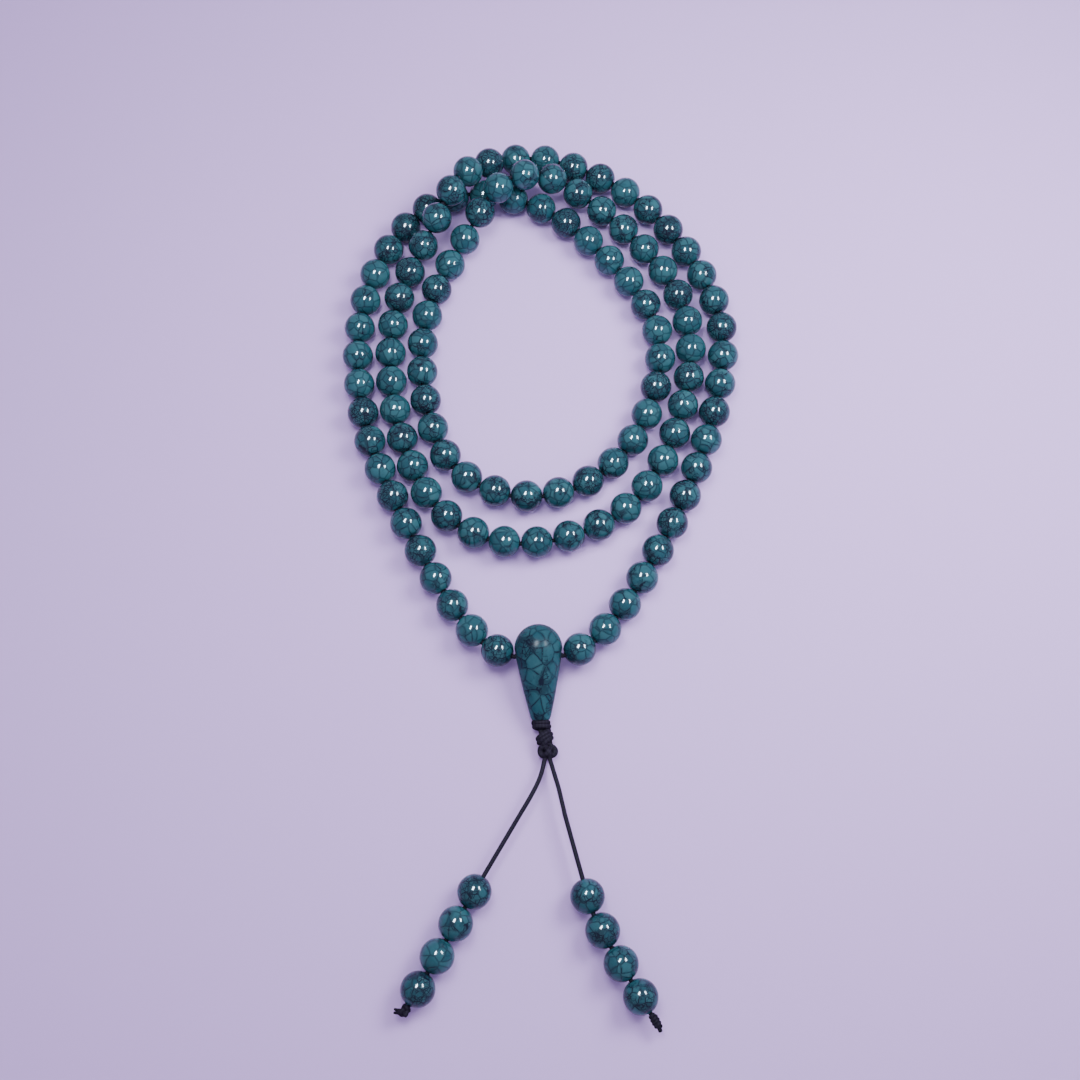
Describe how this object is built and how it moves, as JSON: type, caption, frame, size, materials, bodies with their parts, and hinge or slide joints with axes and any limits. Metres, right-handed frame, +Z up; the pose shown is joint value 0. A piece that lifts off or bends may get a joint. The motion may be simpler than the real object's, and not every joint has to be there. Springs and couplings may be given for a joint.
{
  "type": "prayer beads",
  "caption": "Long strand of round polished stone beads on an elastic cord, wound in laps, with a teardrop guru bead, tied knots and two short beaded tails.",
  "frame": {"origin": "on the table, under the middle of the wound strand with its guru bead and knots, without the two tails", "axes": "+Z up from the table, +Y from the guru bead towards the far end of the laps, +X to the right"},
  "size_m": [0.1044, 0.232, 0.0158],
  "materials": {
    "stone_bead": "polished teal stone with dark matrix veins",
    "black_cord": "black covered elastic cord"
  },
  "bodies": {
    "strand": {"beads_007_009": "stone_bead", "beads_010_012": "stone_bead", "beads_013_015": "stone_bead", "beads_016_018": "stone_bead", "beads_019_021": "stone_bead", "beads_022_024": "stone_bead", "beads_025_027": "stone_bead", "beads_028_030": "stone_bead", "beads_031_033": "stone_bead", "beads_034_036": "stone_bead", "beads_037_039": "stone_bead", "beads_040_042": "stone_bead", "beads_043_045": "stone_bead", "beads_046_048": "stone_bead", "beads_049_051": "stone_bead", "beads_052_054": "stone_bead", "beads_055_057": "stone_bead", "beads_058_060": "stone_bead", "beads_061_063": "stone_bead", "beads_064_066": "stone_bead", "beads_067_069": "stone_bead", "beads_070_072": "stone_bead", "beads_073_075": "stone_bead", "beads_076_078": "stone_bead", "beads_079_081": "stone_bead", "beads_082_084": "stone_bead", "beads_085_087": "stone_bead", "beads_088_090": "stone_bead", "beads_091_093": "stone_bead", "beads_094_096": "stone_bead", "beads_097_099": "stone_bead", "beads_100_102": "stone_bead", "guru_bead": "stone_bead", "main_cord": "black_cord", "split_knot": "black_cord", "wrapped_knot": "black_cord"},
    "bead_001": {"bead_001": "stone_bead"},
    "bead_002": {"bead_002": "stone_bead"},
    "bead_003": {"bead_003": "stone_bead"},
    "bead_004": {"bead_004": "stone_bead"},
    "bead_005": {"bead_005": "stone_bead"},
    "bead_006": {"bead_006": "stone_bead"},
    "bead_103": {"bead_103": "stone_bead"},
    "bead_104": {"bead_104": "stone_bead"},
    "bead_105": {"bead_105": "stone_bead"},
    "bead_106": {"bead_106": "stone_bead"},
    "bead_107": {"bead_107": "stone_bead"},
    "bead_108": {"bead_108": "stone_bead"},
    "left_tail": {"left_tail_cord": "black_cord", "left_end_knot": "black_cord"},
    "left_tail_bead_1": {"left_tail_bead_1": "stone_bead"},
    "left_tail_bead_2": {"left_tail_bead_2": "stone_bead"},
    "left_tail_bead_3": {"left_tail_bead_3": "stone_bead"},
    "left_tail_bead_4": {"left_tail_bead_4": "stone_bead"},
    "right_tail": {"right_tail_cord": "black_cord", "right_end_knot": "black_cord"},
    "right_tail_bead_1": {"right_tail_bead_1": "stone_bead"},
    "right_tail_bead_2": {"right_tail_bead_2": "stone_bead"},
    "right_tail_bead_3": {"right_tail_bead_3": "stone_bead"},
    "right_tail_bead_4": {"right_tail_bead_4": "stone_bead"}
  },
  "joints": [
    {"name": "bead_001_spin", "type": "hinge", "parent": "strand", "child": "bead_001", "pos_m": [-0.01052, -0.05891, 0.00501], "axis": [-0.9182, 0.387, -0.0839], "continuous": true},
    {"name": "bead_002_spin", "type": "hinge", "parent": "strand", "child": "bead_002", "pos_m": [-0.01686, -0.05375, 0.00438], "axis": [-0.6956, 0.7158, -0.0611], "continuous": true},
    {"name": "bead_003_spin", "type": "hinge", "parent": "strand", "child": "bead_003", "pos_m": [-0.02185, -0.04725, 0.00401], "axis": [-0.5685, 0.8224, -0.0232], "continuous": true},
    {"name": "bead_004_spin", "type": "hinge", "parent": "strand", "child": "bead_004", "pos_m": [-0.02617, -0.04028, 0.004], "axis": [-0.5069, 0.862, -0.0008], "continuous": true},
    {"name": "bead_005_spin", "type": "hinge", "parent": "strand", "child": "bead_005", "pos_m": [-0.03016, -0.03312, 0.004], "axis": [-0.4782, 0.8783, 0], "continuous": true},
    {"name": "bead_006_spin", "type": "hinge", "parent": "strand", "child": "bead_006", "pos_m": [-0.03401, -0.02588, 0.004], "axis": [-0.4593, 0.8883, 0], "continuous": true},
    {"name": "bead_103_spin", "type": "hinge", "parent": "strand", "child": "bead_103", "pos_m": [0.0334, -0.02581, 0.004], "axis": [-0.4497, -0.8932, 0], "continuous": true},
    {"name": "bead_104_spin", "type": "hinge", "parent": "strand", "child": "bead_104", "pos_m": [0.02956, -0.03305, 0.004], "axis": [-0.4854, -0.8743, 0], "continuous": true},
    {"name": "bead_105_spin", "type": "hinge", "parent": "strand", "child": "bead_105", "pos_m": [0.02544, -0.04015, 0.004], "axis": [-0.5227, -0.8525, 0.0001], "continuous": true},
    {"name": "bead_106_spin", "type": "hinge", "parent": "strand", "child": "bead_106", "pos_m": [0.02099, -0.04703, 0.004], "axis": [-0.5809, -0.8134, 0.0313], "continuous": true},
    {"name": "bead_107_spin", "type": "hinge", "parent": "strand", "child": "bead_107", "pos_m": [0.01593, -0.05347, 0.00451], "axis": [-0.698, -0.7122, 0.075], "continuous": true},
    {"name": "bead_108_spin", "type": "hinge", "parent": "strand", "child": "bead_108", "pos_m": [0.00961, -0.05864, 0.00522], "axis": [-0.9153, -0.3957, 0.0754], "continuous": true},
    {"name": "left_tail_swing", "type": "hinge", "parent": "strand", "child": "left_tail", "pos_m": [0.001, -0.0851, 0.0022], "axis": [0, 0, 1], "range_deg": [-45, 5]},
    {"name": "left_tail_bead_1_slide", "type": "slide", "parent": "left_tail", "child": "left_tail_bead_1", "axis": [0.513, 0.8584, 0], "range_m": [0, 0.014]},
    {"name": "left_tail_bead_2_spin", "type": "hinge", "parent": "left_tail", "child": "left_tail_bead_2", "pos_m": [-0.0195, -0.1228, 0.004], "axis": [-0.5046, -0.8633, 0], "continuous": true},
    {"name": "left_tail_bead_3_spin", "type": "hinge", "parent": "left_tail", "child": "left_tail_bead_3", "pos_m": [-0.0236, -0.1299, 0.004], "axis": [-0.5046, -0.8633, 0], "continuous": true},
    {"name": "left_tail_bead_4_spin", "type": "hinge", "parent": "left_tail", "child": "left_tail_bead_4", "pos_m": [-0.0278, -0.137, 0.004], "axis": [-0.5091, -0.8607, 0], "continuous": true},
    {"name": "right_tail_swing", "type": "hinge", "parent": "strand", "child": "right_tail", "pos_m": [0.0023, -0.0851, 0.0022], "axis": [0, 0, 1], "range_deg": [-5, 45]},
    {"name": "right_tail_bead_1_slide", "type": "slide", "parent": "right_tail", "child": "right_tail_bead_1", "axis": [-0.2676, 0.9635, 0], "range_m": [0, 0.014]},
    {"name": "right_tail_bead_2_spin", "type": "hinge", "parent": "right_tail", "child": "right_tail_bead_2", "pos_m": [0.0143, -0.1243, 0.004], "axis": [0.452, -0.892, 0], "continuous": true},
    {"name": "right_tail_bead_3_spin", "type": "hinge", "parent": "right_tail", "child": "right_tail_bead_3", "pos_m": [0.0184, -0.1315, 0.004], "axis": [0.5065, -0.8622, 0], "continuous": true},
    {"name": "right_tail_bead_4_spin", "type": "hinge", "parent": "right_tail", "child": "right_tail_bead_4", "pos_m": [0.0227, -0.1386, 0.004], "axis": [0.518, -0.8554, 0], "continuous": true}
  ]
}
